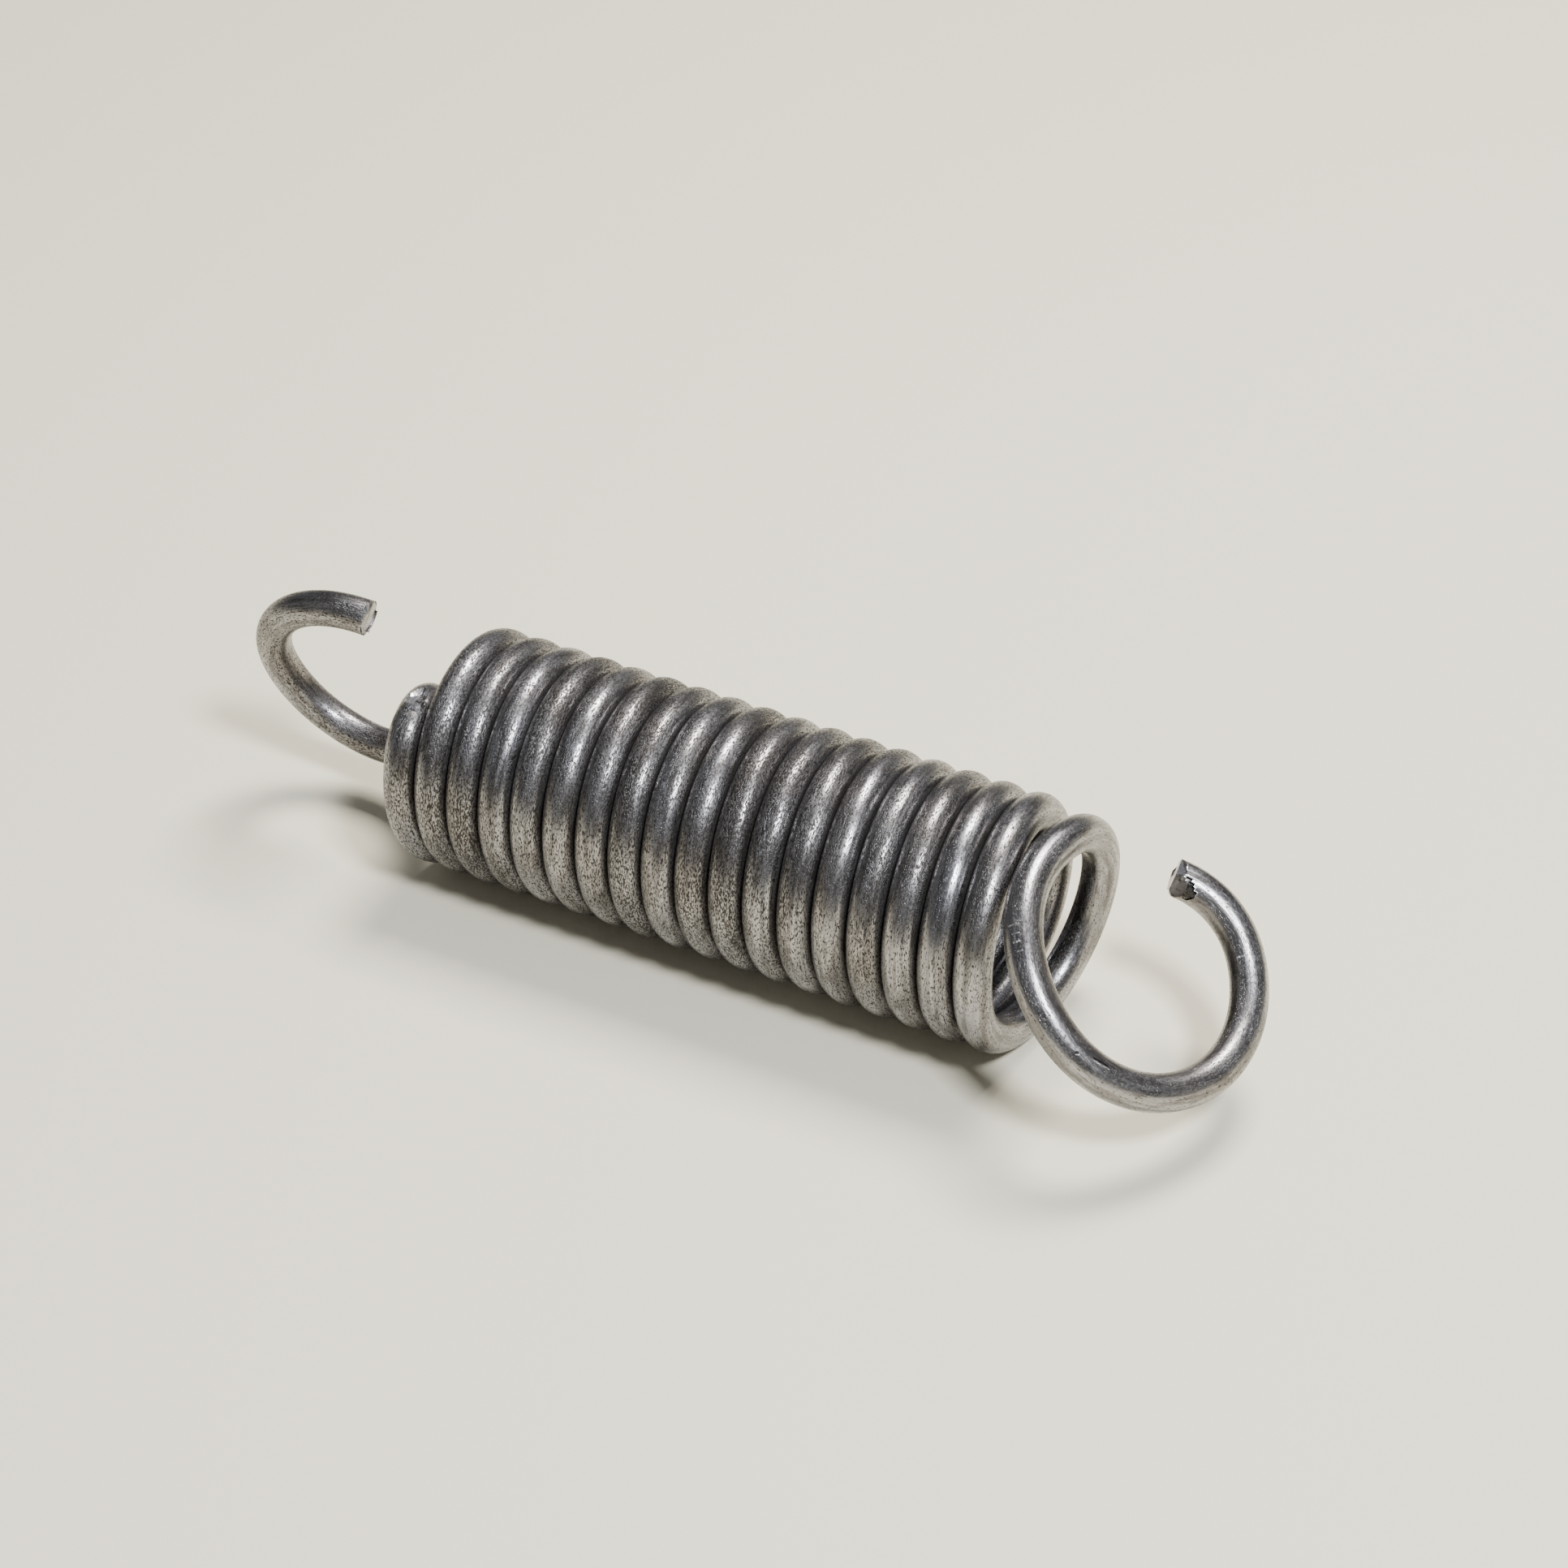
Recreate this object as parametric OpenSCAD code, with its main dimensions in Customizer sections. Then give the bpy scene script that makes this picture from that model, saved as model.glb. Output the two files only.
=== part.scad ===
// Extension spring: one length of round steel wire, close wound, with a hook at each end.
// X runs along the coil and Z is up. The origin is on the coil's axis, half way along the coil.
// The wire's centreline is a chain of circular arcs, each leaving along the last one's tangent.
// The near end is the +X one, whose end turn stands open. The far end is bent straight into its hook.

/* [Wire and coil] */
// wire diameter
wire_d = 2; // [1.2:0.05:2.4]
// diameter of the coil, measured at the wire's centreline
coil_d = 11.7; // [10:0.1:16]
// turns in the close-wound coil
turns = 17.25; // [5:0.25:25]
// step along the axis for one turn, as a share of the wire's diameter
pitch_ratio = 1.015; // [1.01:0.005:1.3]
// roll of the whole spring about the coil's axis
roll = 17; // [0:1:360]

/* [Near hook] */
// Every size in this section and the next is a share of the coil's centreline radius.
// size of the open end turn
near_turn_size = 0.983; // [0.9:0.001:1.1]
// sweep of the open end turn, in degrees
near_turn_sweep = 207; // [190:1:240]
// lean of the end turn out of the coil, in leans of one coil turn
near_turn_lean = 1.01; // [0.9:0.01:3]
// size of the bend between the end turn and the hook
near_bend_size = 1.256; // [1.1:0.001:1.5]
// sweep of that bend, in degrees
near_bend_sweep = 86; // [70:1:120]
// twist of that bend out of the end turn's plane, in degrees
near_bend_twist = 53.5; // [45:0.5:65]
// size of the hook
near_hook_size = 1.094; // [0.9:0.001:1.4]
// sweep of the hook, in degrees
near_hook_sweep = 156; // [100:1:180]
// twist of the hook out of the bend's plane, in degrees
near_hook_twist = 8.5; // [-20:0.5:20]
// size of the hook's closing end
near_tip_size = 0.932; // [0.8:0.001:1.3]
// sweep of the hook's closing end, in degrees
near_tip_sweep = 56; // [20:1:90]
// twist of the closing end out of the hook's plane, in degrees
near_tip_twist = -22.5; // [-40:0.5:10]

/* [Far hook] */
// size of the sharp bend off the coil
far_bend_size = 0.427; // [0.38:0.001:0.55]
// sweep of the sharp bend, in degrees
far_bend_sweep = 131; // [115:1:140]
// twist of the sharp bend out of the coil's last turn, in degrees
far_bend_twist = 5.5; // [0:0.5:15]
// size of the arm that crosses the coil's end
far_arm_size = 1.299; // [1.1:0.001:1.9]
// sweep of the arm, in degrees
far_arm_sweep = 36; // [20:1:90]
// twist of the arm out of the sharp bend's plane, in degrees
far_arm_twist = 97; // [85:0.5:110]
// size of the hook
far_hook_size = 0.932; // [0.8:0.001:1.2]
// sweep of the hook, in degrees
far_hook_sweep = 150; // [90:1:180]
// twist of the hook out of the arm's plane, in degrees
far_hook_twist = 5; // [-20:0.5:20]
// size of the hook's closing end
far_tip_size = 0.983; // [0.75:0.001:1.1]
// sweep of the hook's closing end, in degrees
far_tip_sweep = 96; // [20:1:130]
// twist of the closing end out of the hook's plane, in degrees
far_tip_twist = 9.5; // [-20:0.5:30]

/* [Hidden] */
pitch = wire_d * pitch_ratio;
// A half turn is half a torus, leaning so that its two ends lie half a pitch apart along X.
lean = atan(pitch / 2 / coil_d);
half_turn_r = coil_d / 2 / cos(lean);
// Each way from the middle, the coil is this many half turns and one last arc.
halves = ceil(turns) - 1;
last_sweep = (turns - halves) * 180;
coil_r = coil_d / 2;
// every arc as [centreline radius, sweep, twist about the wire before it starts]
coil_arcs = [
    for (k = [0 : halves]) [half_turn_r, k < halves ? 180 : last_sweep, k == 0 ? lean : 2 * lean]
];
near_arcs = [
    [near_turn_size * coil_r, near_turn_sweep, near_turn_lean * lean],
    [near_bend_size * coil_r, near_bend_sweep, near_bend_twist],
    [near_hook_size * coil_r, near_hook_sweep, near_hook_twist],
    [near_tip_size * coil_r, near_tip_sweep, near_tip_twist]
];
far_arcs = [
    [far_bend_size * coil_r, far_bend_sweep, far_bend_twist],
    [far_arm_size * coil_r, far_arm_sweep, far_arm_twist],
    [far_hook_size * coil_r, far_hook_sweep, far_hook_twist],
    [far_tip_size * coil_r, far_tip_sweep, far_tip_twist]
];
// Two arcs stop this far short of their joint,
joint_gap = 0.01;
// and a ball in the wire, proud by this much, makes them one piece.
ball_proud = 0.006;

// the frame [point, tangent, direction to the centre] twisted about its tangent
function twisted(f, a) = [f[0], f[1], f[2] * cos(a) + cross(f[1], f[2]) * sin(a)];
// the frame at the far end of an arc
function after(f, r, a) = [
    f[0] + r * (sin(a) * f[1] + (1 - cos(a)) * f[2]),
    cos(a) * f[1] + sin(a) * f[2],
    cos(a) * f[2] - sin(a) * f[1]
];

// carries its children from the XY plane, centred on the arc, to the arc's place
module placed(f, r)
{
    c = f[0] + r * f[2];
    z = cross(f[1], f[2]);
    multmatrix([
        [-f[2][0], f[1][0], z[0], c[0]],
        [-f[2][1], f[1][1], z[1], c[1]],
        [-f[2][2], f[1][2], z[2], c[2]],
        [0, 0, 0, 1]
    ])
        children();
}

// an arc of wire, a hair short at each end
module arc(r, sweep)
{
    short = joint_gap / r * 180 / PI;
    rotate([0, 0, short])
        rotate_extrude(angle = sweep - 2 * short, $fn = 96)
            translate([r, 0])
                circle(d = wire_d, $fn = 48);
}

// the ball that joins the arc's start to the arc before it
module ball(r)
{
    translate([r, 0, 0])
        rotate([90, 0, 0])
            sphere(d = wire_d + 2 * ball_proud, $fn = 48);
}

// draws the arcs one after another from the frame f
module chain(f, arcs, first, i = 0)
{
    if (i < len(arcs)) {
        r = arcs[i][0];
        sweep = arcs[i][1];
        g = twisted(f, arcs[i][2]);
        placed(g, r) {
            arc(r, sweep);
            if (i > 0 || first)
                ball(r);
        }
        chain(after(g, r, sweep), arcs, first, i + 1);
    }
}

// one long piece of wire, drawn from the middle of the coil out to each hook
module spring()
{
    color([0.5, 0.5, 0.52])
        for (way = [1, -1]) {
            out = [0, cos(roll), sin(roll)];
            along = [0, -sin(roll), cos(roll)];
            arcs = concat(coil_arcs, way > 0 ? near_arcs : far_arcs);
            chain([coil_r * out, way * along, -out], arcs, way > 0);
        }
}

spring();
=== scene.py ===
"""Looks of a close-wound extension spring: drawn steel wire with a hand-bent hook at each end."""

import math

import bpy
import bmesh
from bpy.props import FloatProperty, FloatVectorProperty, IntProperty, PointerProperty
from bpy.types import Operator, Panel, PropertyGroup
from mathutils import Matrix, Vector


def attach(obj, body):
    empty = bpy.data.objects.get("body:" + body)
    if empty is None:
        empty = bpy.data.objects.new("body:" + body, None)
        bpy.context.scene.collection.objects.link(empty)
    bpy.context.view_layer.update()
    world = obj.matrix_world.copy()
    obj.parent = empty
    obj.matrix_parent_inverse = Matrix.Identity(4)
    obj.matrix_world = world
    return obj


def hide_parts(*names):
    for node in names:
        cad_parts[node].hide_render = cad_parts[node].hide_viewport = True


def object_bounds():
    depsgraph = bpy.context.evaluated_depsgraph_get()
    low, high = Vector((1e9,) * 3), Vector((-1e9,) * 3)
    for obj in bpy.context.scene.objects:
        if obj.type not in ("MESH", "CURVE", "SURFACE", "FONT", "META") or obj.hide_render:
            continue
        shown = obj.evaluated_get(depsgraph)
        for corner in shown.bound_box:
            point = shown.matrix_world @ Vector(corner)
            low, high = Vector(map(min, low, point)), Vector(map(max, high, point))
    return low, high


bl_info = {
    "name": "Extension Spring",
    "version": (1, 0, 0),
    "blender": (4, 5, 0),
    "location": "3D View > Sidebar > Spring",
    "description": "Models an extension spring in drawn steel wire and a plain stage for it",
    "category": "Add Mesh",
}

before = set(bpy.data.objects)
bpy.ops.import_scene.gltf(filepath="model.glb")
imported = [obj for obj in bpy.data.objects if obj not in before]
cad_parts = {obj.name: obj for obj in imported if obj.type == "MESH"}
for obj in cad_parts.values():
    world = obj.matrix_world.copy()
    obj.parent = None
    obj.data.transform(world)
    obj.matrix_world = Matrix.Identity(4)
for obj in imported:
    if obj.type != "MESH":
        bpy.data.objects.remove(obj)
CAD_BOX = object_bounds()

MM = 0.001
NODE = "spring"

# The arcs past the coil, each as size in coil radii, sweep and twist out of the last plane.
# The near end turn's twist is counted in leans of one coil turn.
NEAR_TURN = (0.983, 207, 1.01)
NEAR_ARCS = [(1.256, 86, 53.5), (1.094, 156, 8.5), (0.932, 56, -22.5)]
FAR_ARCS = [(0.427, 131, 5.5), (1.299, 36, 97), (0.932, 150, 5), (0.983, 96, 9.5)]

# Distances between the rings of the wire's mesh, in millimetres.
RING_STEP = 0.36
BEND_STEP = 0.14
TIP_STEP = 0.12
TIP_LENGTH = 3.0
# How far each tip runs on past the frame's before it is cut, in millimetres.
SPARE = 0.35

PLACE = "wire_place"  # distance along the wire and place in its section, in millimetres
CUT = "fresh_cut"
SCUFF = "scuffed"
# painted shade on the sides of the coil's turns that face each other
GROOVE_SHADE = "painted_groove_shade"
PITTED = "pitted"

# The camera's place and its ways right, up and back, and the ways to the two lights.
CAMERA_AT = Vector((75.96, -126.33, 114.06)) * MM
CAMERA_RIGHT = Vector((0.87447, 0.48459, -0.02153))
UP = Vector((-0.27669, 0.53477, 0.79842))
VIEW = Vector((0.39842, -0.69224, 0.60172))
OVERHEAD_WAY = (0.05, 0.43, 0.9)
WINDOW_WAY = (0.52, -0.3, 0.8)

# Lengths of wire in the hooks, in millimetres from each tip.
FAR_HOOK_END = 33.0
NEAR_HOOK_START = 60.0

# Flats scuffed on the wire: a point on the flat, the way it faces and its reach, in millimetres.
SCUFFS = [((-17.6, -3.25, 4.93), (0.12, -0.12, 0.985), 0.8)]

# Strokes on the near hook, in millimetres: from, to and width. The dark ones are scratches and a
# dot; the bright ones are a nick, a painted highlight along the first scratch's edge and the
# bending tool's marks.
DARK_STROKES = [
    ((25.05, -8.28, 0.61), (25.75, -8.0, 0.08), 0.06),
    ((24.32, -8.75, 0.97), (24.4, -8.7, 0.95), 0.1),
]
BRIGHT_STROKES = [
    ((28.14, 2.3, 0.32), (28.46, 2.46, 0.48), 0.07),
    # painted highlight: a bright line along the edge of the first scratch
    ((25.12, -8.38, 0.5), (25.8, -8.1, -0.02), 0.045),
    ((19.2, -5.9, 4.93), (19.66, -5.76, 5.22), 0.06),
    ((19.56, -6.25, 4.82), (20.0, -6.1, 5.12), 0.06),
    ((19.8, -6.56, 4.6), (20.3, -6.4, 4.92), 0.06),
    ((20.15, -6.88, 4.4), (20.6, -6.72, 4.68), 0.06),
]


# ---------------------------------------------------------------- the wire's path


def twisted(place, angle):
    """A place on the wire (point, way along, way to the bend's centre) twisted about the wire."""
    point, along, centre = place
    return point, along, centre * math.cos(angle) + along.cross(centre) * math.sin(angle)


def after(place, radius, angle):
    """The place at the far end of an arc that starts at a place."""
    point, along, centre = place
    s, c = math.sin(angle), math.cos(angle)
    end = point + radius * (s * along + (1 - c) * centre)
    return end, c * along + s * centre, c * centre - s * along


def way_out(sizes, side):
    """The arcs from the coil's middle out to one hook, each as (start, radius, angle)."""
    coil_r = sizes.coil_diameter / 2
    lean = math.atan(sizes.wire_diameter * sizes.pitch_ratio / 2 / sizes.coil_diameter)
    half_r = coil_r / math.cos(lean)
    halves = math.ceil(sizes.turns) - 1
    arcs = [(half_r, math.pi, lean if k == 0 else 2 * lean) for k in range(halves)]
    arcs.append((half_r, (sizes.turns - halves) * math.pi, 2 * lean))
    if side > 0:
        size, sweep, leans = NEAR_TURN
        arcs.append((size * coil_r, math.radians(sweep), leans * lean))
    for size, sweep, twist in NEAR_ARCS if side > 0 else FAR_ARCS:
        arcs.append((size * coil_r, math.radians(sweep), math.radians(twist)))
    out = Vector((0, math.cos(sizes.roll), math.sin(sizes.roll)))
    along = Vector((0, -math.sin(sizes.roll), math.cos(sizes.roll)))
    place = (coil_r * out, side * along, -out)
    found = []
    for radius, angle, twist in arcs:
        start = twisted(place, twist)
        found.append((start, radius, angle))
        place = after(start, radius, angle)
    return found, place


def wire_path(sizes):
    """Every arc from the far tip to the near one, as (start place, radius, angle)."""
    near, near_tip = way_out(sizes, 1)
    far, far_tip = way_out(sizes, -1)
    path = []
    for start, radius, angle in reversed(far):
        point, along, centre = after(start, radius, angle)
        path.append(((point, -along, centre), radius, angle))
    path += near
    # the spare length that the cuts take off again
    spare = SPARE * MM
    (point, along, centre), radius, angle = path[0]
    back = after((point, -along, centre), radius, spare / radius)
    path[0] = ((back[0], -back[1], back[2]), radius, angle + spare / radius)
    start, radius, angle = path[-1]
    path[-1] = (start, radius, angle + spare / radius)
    return path, far_tip, near_tip


# ---------------------------------------------------------------- the wire's mesh


def deselect_all():
    for o in bpy.context.selected_objects:
        o.select_set(False)


def write_floats(mesh, name, kind, values):
    layer = mesh.attributes.get(name) or mesh.attributes.new(name, kind, "POINT")
    layer.data.foreach_set("vector" if kind == "FLOAT_VECTOR" else "value", values)


def spin_arc(sizes, start, radius, angle, first, done, step):
    """One arc of wire: a ring of vertices at its start, spun about the arc's axis."""
    point, along, centre = start
    sides = sizes.sides
    wire_r = sizes.wire_diameter / 2
    turn = Matrix((first, along.cross(first), along)).transposed().to_euler()
    bpy.ops.mesh.primitive_circle_add(
        vertices=sides, radius=wire_r, fill_type="NOTHING", location=point, rotation=turn
    )
    arc = bpy.context.object
    bpy.ops.object.transform_apply(location=True, rotation=True, scale=True)
    length = radius * angle / MM
    steps = max(2, math.ceil(length / step))
    bpy.ops.object.mode_set(mode="EDIT")
    bpy.ops.mesh.select_all(action="SELECT")
    # with no window the spin turns the other way about its axis
    bpy.ops.mesh.spin(
        steps=steps, angle=-angle, center=point + radius * centre, axis=along.cross(centre)
    )
    bpy.ops.object.mode_set(mode="OBJECT")
    places = []
    for k in range(steps + 1):
        for side in range(sides):
            turned = 2 * math.pi * side / sides
            places += (done + length * k / steps, math.cos(turned) * wire_r / MM, math.sin(turned) * wire_r / MM)
    write_floats(arc.data, PLACE, "FLOAT_VECTOR", places)
    return arc, done + length


def spin_wire(sizes):
    """The whole wire, joined from its arcs."""
    path, far_tip, near_tip = wire_path(sizes)
    total = sum(radius * angle for _, radius, angle in path) / MM
    first = -path[0][0][2]
    done = -SPARE
    arcs = []
    for start, radius, angle in path:
        length = radius * angle / MM
        pieces = [(start, angle, BEND_STEP if radius < 3 * MM else RING_STEP)]
        tip_angle = TIP_LENGTH * MM / radius
        if done < 0:
            pieces = [(start, tip_angle, TIP_STEP), (after(start, radius, tip_angle), angle - tip_angle, RING_STEP)]
        elif done + length > total - SPARE - 0.001:
            rest = angle - tip_angle
            pieces = [(start, rest, RING_STEP), (after(start, radius, rest), tip_angle, TIP_STEP)]
        for place, part, step in pieces:
            arc, done = spin_arc(sizes, place, radius, part, first, done, step)
            arcs.append(arc)
            first = Matrix.Rotation(part, 3, place[1].cross(place[2])) @ first
    deselect_all()
    for arc in arcs:
        arc.select_set(True)
    wire = arcs[0]
    bpy.context.view_layer.objects.active = wire
    bpy.ops.object.join()
    wire.name = wire.data.name = "spring_wire"
    bpy.ops.object.mode_set(mode="EDIT")
    bpy.ops.mesh.select_all(action="SELECT")
    bpy.ops.mesh.remove_doubles(threshold=0.002 * MM)
    bpy.ops.mesh.select_all(action="SELECT")
    bpy.ops.mesh.normals_make_consistent(inside=False)
    bpy.ops.object.mode_set(mode="OBJECT")
    return wire, far_tip, near_tip, total - 2 * SPARE


# ---------------------------------------------------------------- shaping the wire's ends and marks


def select_faces(mesh, test):
    """In edit mode, selects the faces that pass the test and nothing else. Returns how many."""
    bpy.ops.mesh.select_mode(type="FACE")
    bpy.ops.mesh.select_all(action="DESELECT")
    bm = bmesh.from_edit_mesh(mesh)
    found = 0
    for f in bm.faces:
        if test(f):
            f.select_set(True)
            found += 1
    bmesh.update_edit_mesh(mesh)
    return found


def cut_across(mesh, at, away, reach):
    """Cuts the wire near a point with a plane, and closes the cut."""
    select_faces(mesh, lambda f: (f.calc_center_median() - at).length < reach)
    bpy.ops.mesh.bisect(plane_co=at, plane_no=away, use_fill=True, clear_outer=True)
    bpy.ops.mesh.remove_doubles(threshold=0.05 * MM)


def flatten(mesh, at, facing, reach, left=0.0):
    """Presses what stands beyond a plane down onto it, within reach of the plane's point."""
    bpy.ops.mesh.select_mode(type="VERT")
    bpy.ops.mesh.select_all(action="DESELECT")
    bm = bmesh.from_edit_mesh(mesh)
    for v in bm.verts:
        if (v.co - at).length < reach and (v.co - at).dot(facing) > 0:
            v.select_set(True)
    bmesh.update_edit_mesh(mesh)
    side = facing.orthogonal().normalized()
    frame_of_press = Matrix((side, facing.cross(side), facing))
    bpy.ops.transform.resize(
        value=(1, 1, left), orient_type="GLOBAL", orient_matrix=frame_of_press,
        orient_matrix_type="GLOBAL", center_override=at,
    )


def cap_faces(mesh, at, away):
    """Selects the flat faces that a cut left at a point."""
    return select_faces(
        mesh,
        lambda f: abs((f.calc_center_median() - at).dot(away)) < 0.01 * MM
        and (f.calc_center_median() - at).length < 1.3 * MM
        and f.normal.dot(away) > 0.99,
    )


def shape_far_tip(mesh, tip, wire_r):
    """The far end: nipped square across, with a burr that curls over the top of the cut."""
    point, along, centre = tip
    top = (UP - UP.dot(along) * along).normalized()
    away = (along + 0.08 * VIEW).normalized()
    at = point + along * 0.05 * MM
    cut_across(mesh, at, away, 2.5 * MM)
    cap_faces(mesh, at, away)
    bpy.ops.mesh.inset(thickness=0.13 * MM, depth=0, use_even_offset=False)
    bpy.ops.mesh.inset(thickness=0.3 * MM, depth=-0.05 * MM, use_even_offset=False)
    bpy.ops.mesh.inset(thickness=0.12 * MM, depth=0.04 * MM, use_even_offset=False)
    bpy.ops.mesh.poke()
    # the burr
    side = along.cross(top)
    select_faces(
        mesh,
        lambda f: abs((f.calc_center_median() - at).dot(away)) < 0.012 * MM
        and f.normal.dot(away) > 0.9
        and (f.calc_center_median() - at).dot(top) > 0.62 * wire_r
        and abs((f.calc_center_median() - at).dot(side)) < 0.55 * MM,
    )
    for forward, up, size in (
        (0.12, 0.05, 0.97), (0.12, 0.0, 0.93), (0.1, -0.08, 0.88), (0.02, -0.12, 0.85), (-0.03, -0.08, 0.7)
    ):
        step = (along * forward + top * up) * MM
        bpy.ops.mesh.extrude_region_move(TRANSFORM_OT_translate={"value": step})
        bpy.ops.transform.resize(value=(size, size, size))
    # the nippers' jaw left a flat beside the cut
    jaw = (0.5 * top - 0.15 * VIEW.cross(along) + 0.75 * VIEW + 0.22 * along).normalized()
    flatten(mesh, point + jaw * 0.86 * wire_r + along * 0.1 * MM, jaw, 1.0 * MM)


def shape_near_tip(mesh, tip, wire_r):
    """The near end: sheared to a blunt wedge by side cutters, with a pinched flat beside it."""
    point, along, centre = tip
    top = (UP - UP.dot(along) * along).normalized()
    end = point + along * 0.2 * MM
    cut_across(mesh, end, (along + 0.12 * top).normalized(), 2.5 * MM)
    cut_across(mesh, end - top * 0.6 * wire_r, (0.75 * along - 0.66 * top).normalized(), 1.6 * MM)
    bevel = (0.62 * along + 0.62 * VIEW + 0.3 * top).normalized()
    cut_across(mesh, end - along * 0.42 * MM + VIEW * wire_r, bevel, 1.8 * MM)
    # the jaw's pinch runs out within a millimetre up the wire
    flat = (0.9 * VIEW - 0.42 * top).normalized()
    pinch = (flat + 0.5 * along).normalized()
    cut_across(mesh, point - along * 0.7 * MM + flat * wire_r, pinch, 1.9 * MM)


def paint_marks(wire, sizes, far_tip, near_tip, total):
    """Writes what the finish needs to know about each point of the wire."""
    mesh = wire.data
    place = [0.0] * (3 * len(mesh.vertices))
    mesh.attributes[PLACE].data.foreach_get("vector", place)
    end_x = (sizes.turns / 2 * sizes.wire_diameter * sizes.pitch_ratio)
    cut, scuff, groove_shade, pitted = [], [], [], []
    for i, v in enumerate(mesh.vertices):
        along = place[3 * i]
        n = v.normal
        in_coil = FAR_HOOK_END < along < total - NEAR_HOOK_START
        # painted shade: a side of a coil turn that faces the next turn, where the turns shade each other
        neighbour = abs(v.co.x + math.copysign(1.6 * MM, n.x)) < end_x + 0.8 * MM
        groove_shade.append(max(0.0, min(1.0, (abs(n.x) - 0.88) / 0.1)) if in_coil and neighbour else 0.0)
        past_far = (v.co - far_tip[0]).dot(far_tip[1])
        past_near = (v.co - near_tip[0]).dot(near_tip[1])
        near_far = (v.co - far_tip[0]).length < 1.6 * MM
        near_near = (v.co - near_tip[0]).length < 1.6 * MM
        fresh = 0.0
        if near_far and past_far > -0.02 * MM:
            fresh = 0.3
        if near_near and past_near > -0.35 * MM and n.dot(near_tip[1]) > 0.35:
            fresh = 1.0
        cut.append(fresh)
        worn = 0.0
        for at, facing, reach in SCUFFS:
            spot = v.co - Vector(at) * MM
            if spot.length < reach * MM and n.dot(Vector(facing).normalized()) > 0.8:
                worn = max(worn, 1 - (spot.length / (reach * MM)) ** 2)
        scuff.append(worn)
        # most pitted in the coil's far and middle turns, smoother towards the near hook
        x = v.co.x / MM
        dull = 1.0 if in_coil else 0.75
        if x > 4:
            dull *= max(0.68, 1 - (x - 4) / 40)
        pitted.append(dull)
    write_floats(mesh, CUT, "FLOAT", cut)
    write_floats(mesh, SCUFF, "FLOAT", scuff)
    write_floats(mesh, GROOVE_SHADE, "FLOAT", groove_shade)
    write_floats(mesh, PITTED, "FLOAT", pitted)


# ---------------------------------------------------------------- finishes


def new_group(name, takes, gives):
    """A shader node group with named inputs (name, kind, default) and outputs (name, kind)."""
    tree = bpy.data.node_groups.new(name, "ShaderNodeTree")
    for label, kind, default in takes:
        socket = tree.interface.new_socket(label, in_out="INPUT", socket_type="NodeSocket" + kind)
        socket.default_value = default
    for label, kind in gives:
        tree.interface.new_socket(label, in_out="OUTPUT", socket_type="NodeSocket" + kind)
    return tree, tree.nodes.new("NodeGroupInput"), tree.nodes.new("NodeGroupOutput")


def node(tree, kind, feeds=(), **settings):
    """Adds a node, sets its settings, and fills its inputs from sockets or plain values."""
    made = tree.nodes.new("ShaderNode" + kind)
    for name, value in settings.items():
        setattr(made, name, value)
    for socket, value in dict(feeds).items():
        if isinstance(value, bpy.types.NodeSocket):
            tree.links.new(value, made.inputs[socket])
        else:
            made.inputs[socket].default_value = value
    return made


def math_node(tree, operation, a, b=0.0):
    made = node(tree, "Math", operation=operation, feeds={0: a, 1: b})
    return made.outputs[0]


def vector_node(tree, operation, a, b, out="Vector"):
    return node(tree, "VectorMath", operation=operation, feeds={0: a, 1: b}).outputs[out]


def mix_colour(tree, share, a, b):
    made = node(tree, "Mix", data_type="RGBA", feeds={0: share, 6: a, 7: b})
    return made.outputs[2]


def speck_group():
    """Specks drawn out along the wire: places are scaled to the specks' size and cut off at a level."""
    tree, takes, gives = new_group(
        "Drawn Specks",
        [("Place", "Vector", (0, 0, 0)), ("Length", "Float", 1.0), ("Width", "Float", 1.0),
         ("Amount", "Float", 0.3), ("Softness", "Float", 0.03)],
        [("Specks", "Float")],
    )
    t = takes.outputs
    length = math_node(tree, "DIVIDE", 1.0, t["Length"])
    width = math_node(tree, "DIVIDE", 1.0, t["Width"])
    scale = node(tree, "CombineXYZ", feeds={"X": length, "Y": width, "Z": width})
    scaled = node(tree, "VectorMath", operation="MULTIPLY", feeds={0: t["Place"], 1: scale.outputs[0]})
    grain = node(
        tree, "TexNoise", feeds={"Vector": scaled.outputs[0], "Scale": 0.45, "Detail": 2.0, "Roughness": 0.6}
    )
    level = node(tree, "MapRange", feeds={"Value": t["Amount"], "To Min": 0.72, "To Max": 0.36})
    low = math_node(tree, "SUBTRACT", level.outputs[0], t["Softness"])
    high = math_node(tree, "ADD", level.outputs[0], t["Softness"])
    mask = node(tree, "MapRange", feeds={"Value": grain.outputs[0], "From Min": low, "From Max": high})
    tree.links.new(mask.outputs[0], gives.inputs["Specks"])
    return tree


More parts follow.
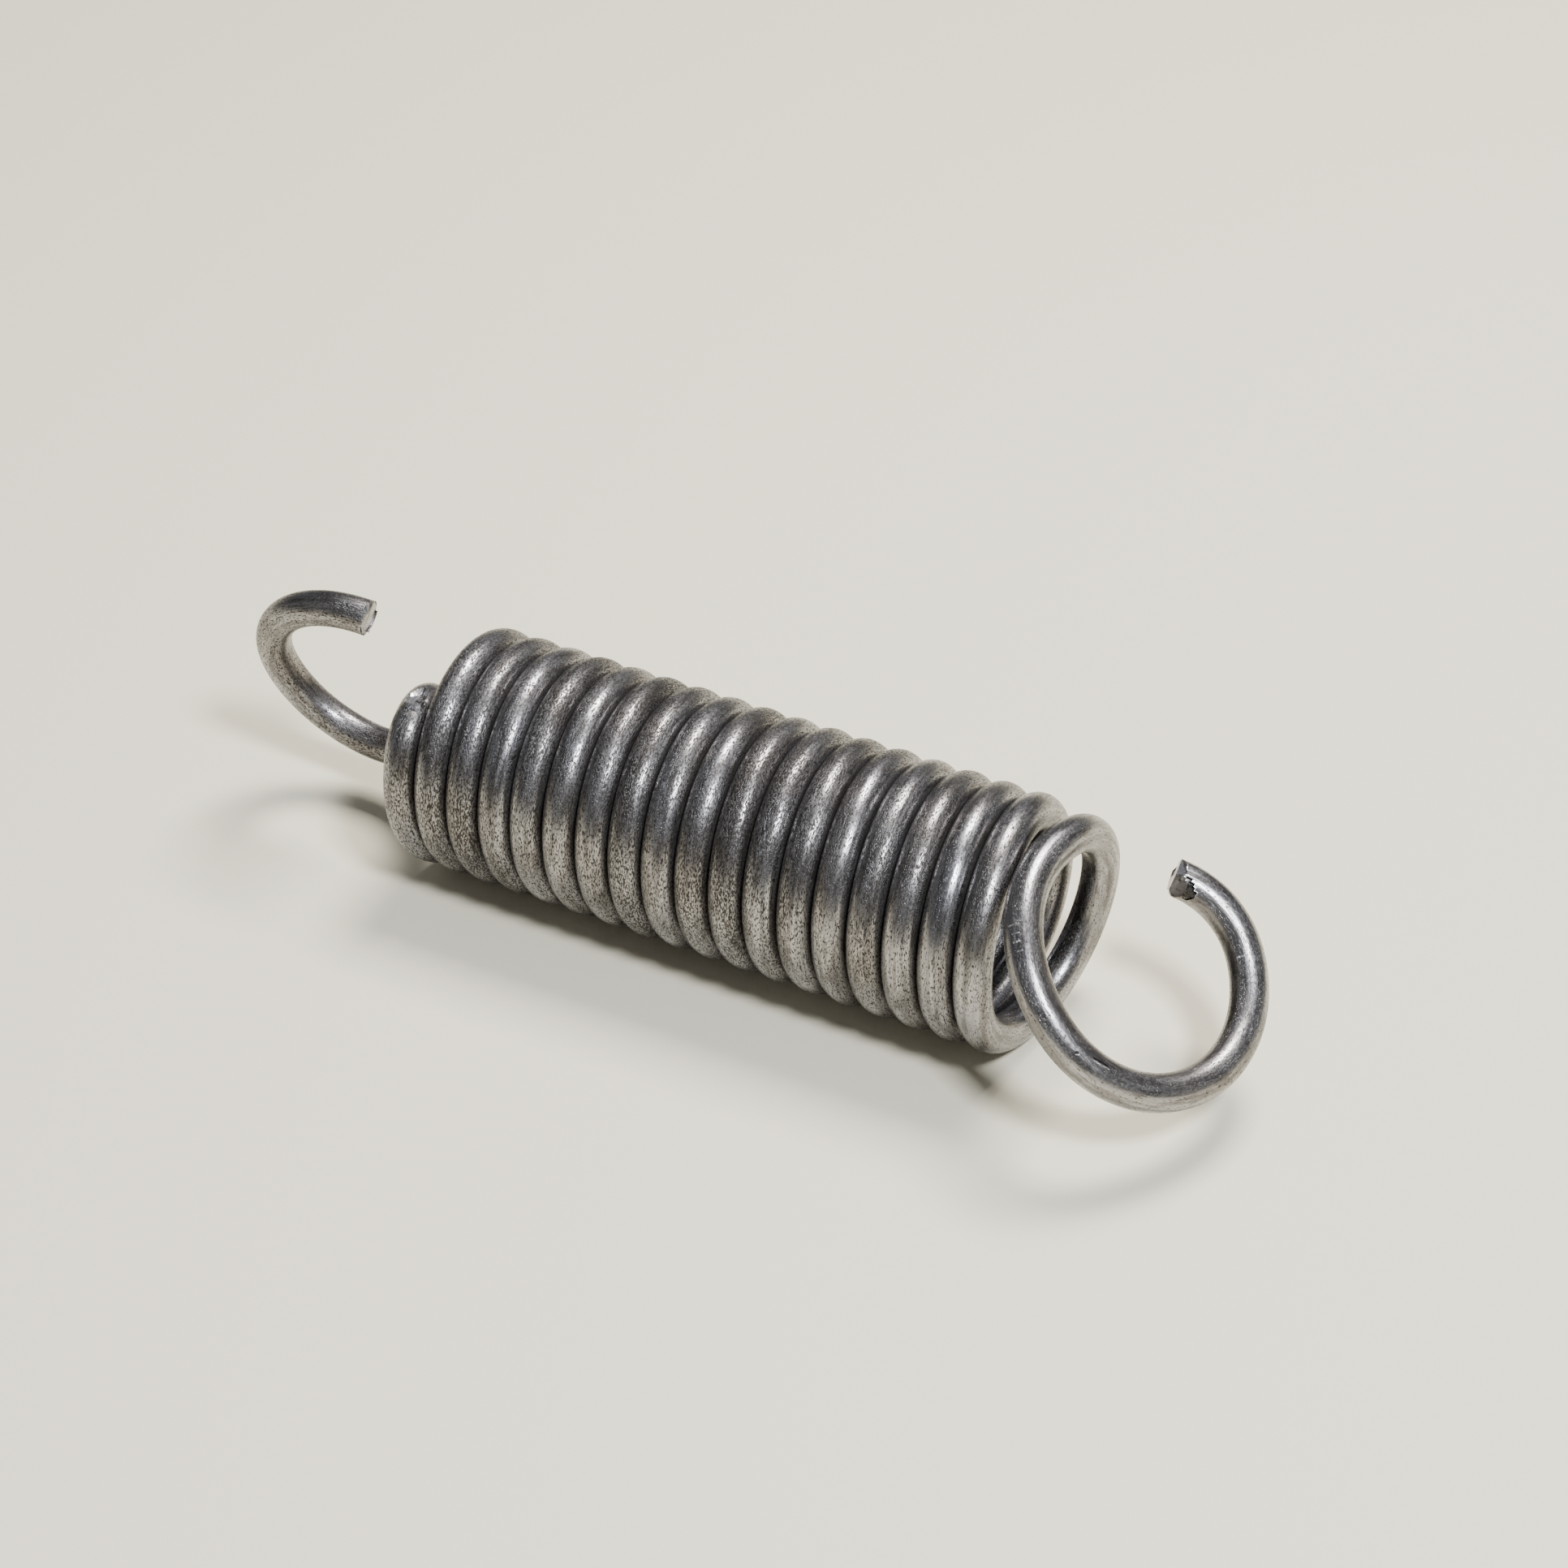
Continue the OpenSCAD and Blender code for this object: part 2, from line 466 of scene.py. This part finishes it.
def stroke_group():
    """One scratch, nick or dot: a soft-edged stroke between two points."""
    tree, takes, gives = new_group(
        "Stroke",
        [("Place", "Vector", (0, 0, 0)), ("From", "Vector", (0, 0, 0)), ("To", "Vector", (0, 0, 1)),
         ("Width", "Float", 0.001)],
        [("Mark", "Float")],
    )
    t = takes.outputs
    span = vector_node(tree, "SUBTRACT", t["To"], t["From"])
    offset = vector_node(tree, "SUBTRACT", t["Place"], t["From"])
    share = math_node(
        tree, "DIVIDE",
        vector_node(tree, "DOT_PRODUCT", offset, span, "Value"),
        vector_node(tree, "DOT_PRODUCT", span, span, "Value"),
    )
    share = node(tree, "Clamp", feeds={"Value": share}).outputs[0]
    reached = node(tree, "VectorMath", operation="SCALE", feeds={0: span, "Scale": share}).outputs[0]
    miss = vector_node(tree, "SUBTRACT", offset, reached)
    far = node(tree, "VectorMath", operation="LENGTH", feeds={0: miss}).outputs["Value"]
    inner = math_node(tree, "MULTIPLY", t["Width"], 0.5)
    mask = node(tree, "MapRange", feeds={"Value": far, "From Min": t["Width"], "From Max": inner})
    tree.links.new(mask.outputs[0], gives.inputs["Mark"])
    return tree


def grouped(tree, group, **feeds):
    made = tree.nodes.new("ShaderNodeGroup")
    made.node_tree = group
    for name, value in feeds.items():
        socket = made.inputs[name]
        if isinstance(value, bpy.types.NodeSocket):
            tree.links.new(value, socket)
        else:
            socket.default_value = value
    return made.outputs[0]


def steel_material(finish, total):
    """Bare drawn steel: specked and streaked along the wire, with painted shade between the turns."""
    material = bpy.data.materials.new("drawn_steel")
    material.use_nodes = True
    tree = material.node_tree
    tree.nodes.clear()
    specks_of, stroke_of = speck_group(), stroke_group()
    place = node(tree, "Attribute", attribute_name=PLACE).outputs["Vector"]
    cut = node(tree, "Attribute", attribute_name=CUT).outputs["Fac"]
    scuff = node(tree, "Attribute", attribute_name=SCUFF).outputs["Fac"]
    groove_shade = node(tree, "Attribute", attribute_name=GROOVE_SHADE).outputs["Fac"]
    pitted = node(tree, "Attribute", attribute_name=PITTED).outputs["Fac"]

    patches = grouped(tree, specks_of, Place=place, Length=6.0, Width=1.6, Amount=0.5, Softness=0.16)
    bare = math_node(tree, "SUBTRACT", 1.0, math_node(tree, "MAXIMUM", cut, scuff))
    amount = math_node(tree, "MULTIPLY", pitted, finish.pit_amount)
    amount = math_node(tree, "MULTIPLY", amount, math_node(tree, "ADD", 0.75, math_node(tree, "MULTIPLY", patches, 0.4)))
    pits = grouped(tree, specks_of, Place=place, Length=finish.pit_length / MM, Width=finish.pit_width / MM, Amount=amount, Softness=0.03)
    pits = math_node(tree, "MULTIPLY", pits, bare)
    fine = grouped(tree, specks_of, Place=place, Length=0.09, Width=0.045, Amount=0.45, Softness=0.12)
    streaks = grouped(tree, specks_of, Place=place, Length=2.4, Width=0.1, Amount=finish.streak_amount, Softness=0.08)
    tone = grouped(tree, specks_of, Place=place, Length=3.0, Width=0.9, Amount=0.5, Softness=0.2)

    scale = grouped(tree, specks_of, Place=place, Length=0.9, Width=0.16, Amount=finish.scale_amount, Softness=0.035)
    scale = math_node(tree, "MULTIPLY", math_node(tree, "MULTIPLY", scale, bare), 0.55)

    colour = mix_colour(tree, tone, tuple(finish.steel_colour) + (1,), tuple(finish.warm_colour) + (1,))
    dark = tuple(finish.pit_and_groove_shade_colour) + (1,)
    colour = mix_colour(tree, math_node(tree, "MULTIPLY", streaks, 0.35), colour, dark)
    colour = mix_colour(tree, scale, colour, tuple(finish.scale_colour) + (1,))
    colour = mix_colour(tree, math_node(tree, "MULTIPLY", pits, 0.88), colour, dark)
    rough = math_node(tree, "ADD", finish.roughness, math_node(tree, "MULTIPLY", fine, 0.1))
    rough = math_node(tree, "ADD", rough, math_node(tree, "MULTIPLY", pits, 0.25))
    rough = math_node(tree, "ADD", rough, math_node(tree, "MULTIPLY", tone, 0.05))

    # fresh metal on the cuts and the scuffed flats, torn rather than drawn
    torn = grouped(tree, specks_of, Place=place, Length=0.22, Width=0.3, Amount=0.4, Softness=0.06)
    fresh = mix_colour(tree, torn, tuple(finish.fresh_metal_and_glint_colour) + (1,), dark)
    raw = math_node(tree, "MAXIMUM", cut, math_node(tree, "MULTIPLY", scuff, 2.0))
    raw = math_node(tree, "MINIMUM", raw, 1.0)
    colour = mix_colour(tree, math_node(tree, "MULTIPLY", raw, 0.75), colour, fresh)
    height = math_node(tree, "ADD", math_node(tree, "MULTIPLY", pits, -1.0), math_node(tree, "MULTIPLY", fine, -0.25))
    height = math_node(tree, "ADD", height, math_node(tree, "MULTIPLY", streaks, -0.4))
    height = math_node(tree, "ADD", height, math_node(tree, "MULTIPLY", math_node(tree, "MULTIPLY", torn, raw), -1.5))

    spot = node(tree, "TexCoord").outputs["Object"]
    marks = []
    for strokes in (DARK_STROKES, BRIGHT_STROKES):
        all_marks = 0.0
        for start, end, width in strokes:
            feeds = {"Place": spot, "From": Vector(start) * MM, "To": Vector(end) * MM, "Width": width * MM}
            all_marks = math_node(tree, "MAXIMUM", all_marks, grouped(tree, stroke_of, **feeds))
        marks.append(all_marks)
    dark_marks, bright_marks = marks
    colour = mix_colour(tree, math_node(tree, "MULTIPLY", dark_marks, 0.9), colour, dark)
    # the bright strokes take the fresh metal's colour; the one beside the first scratch is a painted highlight
    colour = mix_colour(tree, math_node(tree, "MULTIPLY", bright_marks, 0.9), colour, tuple(finish.fresh_metal_and_glint_colour) + (1,))
    height = math_node(tree, "SUBTRACT", height, math_node(tree, "ADD", dark_marks, bright_marks))

    # painted shade between the turns: a darker colour, with rougher metal there too
    colour = mix_colour(tree, math_node(tree, "MULTIPLY", groove_shade, 0.85), colour, dark)
    rough = math_node(tree, "ADD", rough, math_node(tree, "MULTIPLY", groove_shade, 0.35))

    bump = node(tree, "Bump", feeds={"Height": height, "Strength": 0.6, "Distance": finish.pit_depth})
    shader = node(
        tree, "BsdfPrincipled",
        feeds={"Base Color": colour, "Roughness": rough, "Metallic": 1.0, "Normal": bump.outputs[0]},
    )
    out = node(tree, "OutputMaterial")
    tree.links.new(shader.outputs[0], out.inputs["Surface"])
    return material


def plain_material(name, colour, roughness):
    material = bpy.data.materials.new(name)
    material.use_nodes = True
    shader = material.node_tree.nodes["Principled BSDF"]
    shader.inputs["Base Color"].default_value = tuple(colour) + (1,)
    shader.inputs["Roughness"].default_value = roughness
    return material


# ---------------------------------------------------------------- settings and operators


def length(name, description, default):
    return FloatProperty(name=name, description=description, default=default, unit="LENGTH", precision=5)


def colour(name, description, default):
    return FloatVectorProperty(name=name, description=description, default=default, subtype="COLOR", min=0, max=1)


class SpringSizes(PropertyGroup):
    wire_diameter: length("Wire", "Diameter of the wire", 2 * MM)
    coil_diameter: length("Coil", "Diameter of the coil at the wire's centreline", 11.7 * MM)
    turns: FloatProperty(name="Turns", description="Turns in the close-wound coil", default=17.25)
    pitch_ratio: FloatProperty(
        name="Pitch", description="Step for one turn, as a share of the wire's diameter", default=1.015
    )
    roll: FloatProperty(
        name="Roll", description="Roll of the spring about its axis", default=math.radians(17), subtype="ANGLE"
    )
    sides: IntProperty(name="Sides", description="Sides of the wire's round section", default=40, min=12)


class SteelFinish(PropertyGroup):
    steel_colour: colour("Steel", "Bare steel", (0.37, 0.365, 0.38))
    warm_colour: colour("Warm steel", "Steel where it has dulled", (0.27, 0.25, 0.24))
    # this dark colour paints the pits and also the painted shade between the turns
    pit_and_groove_shade_colour: colour("Pits", "Dark metal in the pits and grooves", (0.025, 0.022, 0.02))
    # fresh metal on the cuts, scuffs, nick and tool marks, and also the painted highlight beside a scratch
    fresh_metal_and_glint_colour: colour("Fresh cut", "Metal bared by the cutters", (0.72, 0.71, 0.73))
    roughness: FloatProperty(name="Roughness", description="Roughness of the drawn surface", default=0.25)
    pit_amount: FloatProperty(name="Pit amount", description="Share of the surface that is pitted", default=0.62)
    pit_length: length("Pit length", "Length of a pit along the wire", 0.075 * MM)
    pit_width: length("Pit width", "Width of a pit across the wire", 0.03 * MM)
    pit_depth: length("Pit depth", "Depth of the pits", 0.012 * MM)
    streak_amount: FloatProperty(name="Streaks", description="Share of the surface that is streaked", default=0.5)
    scale_amount: FloatProperty(name="Scale", description="Share of the surface under dark scale", default=0.5)
    scale_colour: colour("Scale colour", "Dark scale left on the wire", (0.11, 0.1, 0.095))


class StageLooks(PropertyGroup):
    floor_colour: colour("Floor", "Colour of the floor", (0.86, 0.8, 0.62))
    floor_width: length("Floor width", "Width of the floor", 3.0)
    overhead_power: FloatProperty(name="Overhead light", description="Power of the overhead light", default=2.0, unit="POWER")
    window_power: FloatProperty(name="Window light", description="Power of the light to the front", default=1.5, unit="POWER")
    room_light: FloatProperty(name="Room light", description="Strength of the light all round", default=0.2)


class SPRING_OT_model_wire(Operator):
    """Models the spring as one wire, with its cut ends and its steel finish"""

    bl_idname = "spring.model_wire"
    bl_label = "Model the Spring"

    def execute(self, context):
        sizes = context.scene.spring_sizes
        deselect_all()
        wire, far_tip, near_tip, total = spin_wire(sizes)
        wire_r = sizes.wire_diameter / 2
        bpy.ops.object.mode_set(mode="EDIT")
        shape_far_tip(wire.data, far_tip, wire_r)
        shape_near_tip(wire.data, near_tip, wire_r)
        for at, facing, reach in SCUFFS:
            flatten(wire.data, Vector(at) * MM, Vector(facing).normalized(), reach * MM)
        bpy.ops.object.mode_set(mode="OBJECT")
        bpy.ops.object.shade_smooth_by_angle(angle=math.radians(14))
        paint_marks(wire, sizes, far_tip, near_tip, total)
        wire.data.materials.clear()
        wire.data.materials.append(steel_material(context.scene.steel_finish, total))
        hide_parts(NODE)
        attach(wire, "root")
        return {"FINISHED"}


class SPRING_OT_build_stage(Operator):
    """Adds the floor, the lights and the camera"""

    bl_idname = "spring.build_stage"
    bl_label = "Build the Stage"

    def execute(self, context):
        looks = context.scene.stage_looks
        deselect_all()
        bpy.ops.mesh.primitive_plane_add(size=looks.floor_width, location=(0, 0, CAD_BOX[0].z))
        floor = context.object
        floor.name = "floor"
        floor.data.materials.append(plain_material("pale_floor", looks.floor_colour, 0.75))
        add_light("overhead", OVERHEAD_WAY, 0.36, 0.13, looks.overhead_power, (1.0, 0.97, 0.93))
        add_light("window", WINDOW_WAY, 0.34, 0.055, looks.window_power, (0.9, 0.94, 1.0))
        world = bpy.data.worlds.new("room")
        context.scene.world = world
        world.use_nodes = True
        background = world.node_tree.nodes["Background"]
        background.inputs["Color"].default_value = (0.9, 0.93, 1.0, 1)
        background.inputs["Strength"].default_value = looks.room_light
        right, up, back = CAMERA_RIGHT, UP, VIEW
        camera = bpy.data.objects.new("camera", bpy.data.cameras.new("camera"))
        camera.data.lens = 79.98
        camera.data.sensor_width = 36
        camera.data.clip_start = 0.01
        place = Matrix((right, up, back)).transposed().to_4x4()
        place.translation = CAMERA_AT
        camera.matrix_world = place
        context.scene.collection.objects.link(camera)
        context.scene.camera = camera
        return {"FINISHED"}


def add_light(name, way, away, size, power, tint):
    data = bpy.data.lights.new(name, "AREA")
    data.size = size
    data.energy = power
    data.color = tint
    light = bpy.data.objects.new(name, data)
    way = Vector(way).normalized()
    light.matrix_world = Matrix.Translation(way * away) @ way.to_track_quat("Z", "Y").to_matrix().to_4x4()
    bpy.context.scene.collection.objects.link(light)


class SPRING_PT_panel(Panel):
    """The spring's sizes, finish and stage"""

    bl_idname = "SPRING_PT_panel"
    bl_label = "Extension Spring"
    bl_space_type = "VIEW_3D"
    bl_region_type = "UI"
    bl_category = "Spring"

    def draw(self, context):
        layout = self.layout
        for group in (context.scene.spring_sizes, context.scene.steel_finish, context.scene.stage_looks):
            box = layout.box()
            for name in group.__annotations__:
                box.prop(group, name)
        layout.operator("spring.model_wire")
        layout.operator("spring.build_stage")


CLASSES = (SpringSizes, SteelFinish, StageLooks, SPRING_OT_model_wire, SPRING_OT_build_stage, SPRING_PT_panel)


def register():
    for cls in CLASSES:
        bpy.utils.register_class(cls)
    bpy.types.Scene.spring_sizes = PointerProperty(type=SpringSizes)
    bpy.types.Scene.steel_finish = PointerProperty(type=SteelFinish)
    bpy.types.Scene.stage_looks = PointerProperty(type=StageLooks)


def unregister():
    del bpy.types.Scene.stage_looks
    del bpy.types.Scene.steel_finish
    del bpy.types.Scene.spring_sizes
    for cls in reversed(CLASSES):
        bpy.utils.unregister_class(cls)


def main():
    register()
    bpy.ops.spring.model_wire()
    bpy.ops.spring.build_stage()


if __name__ == "__main__":
    main()
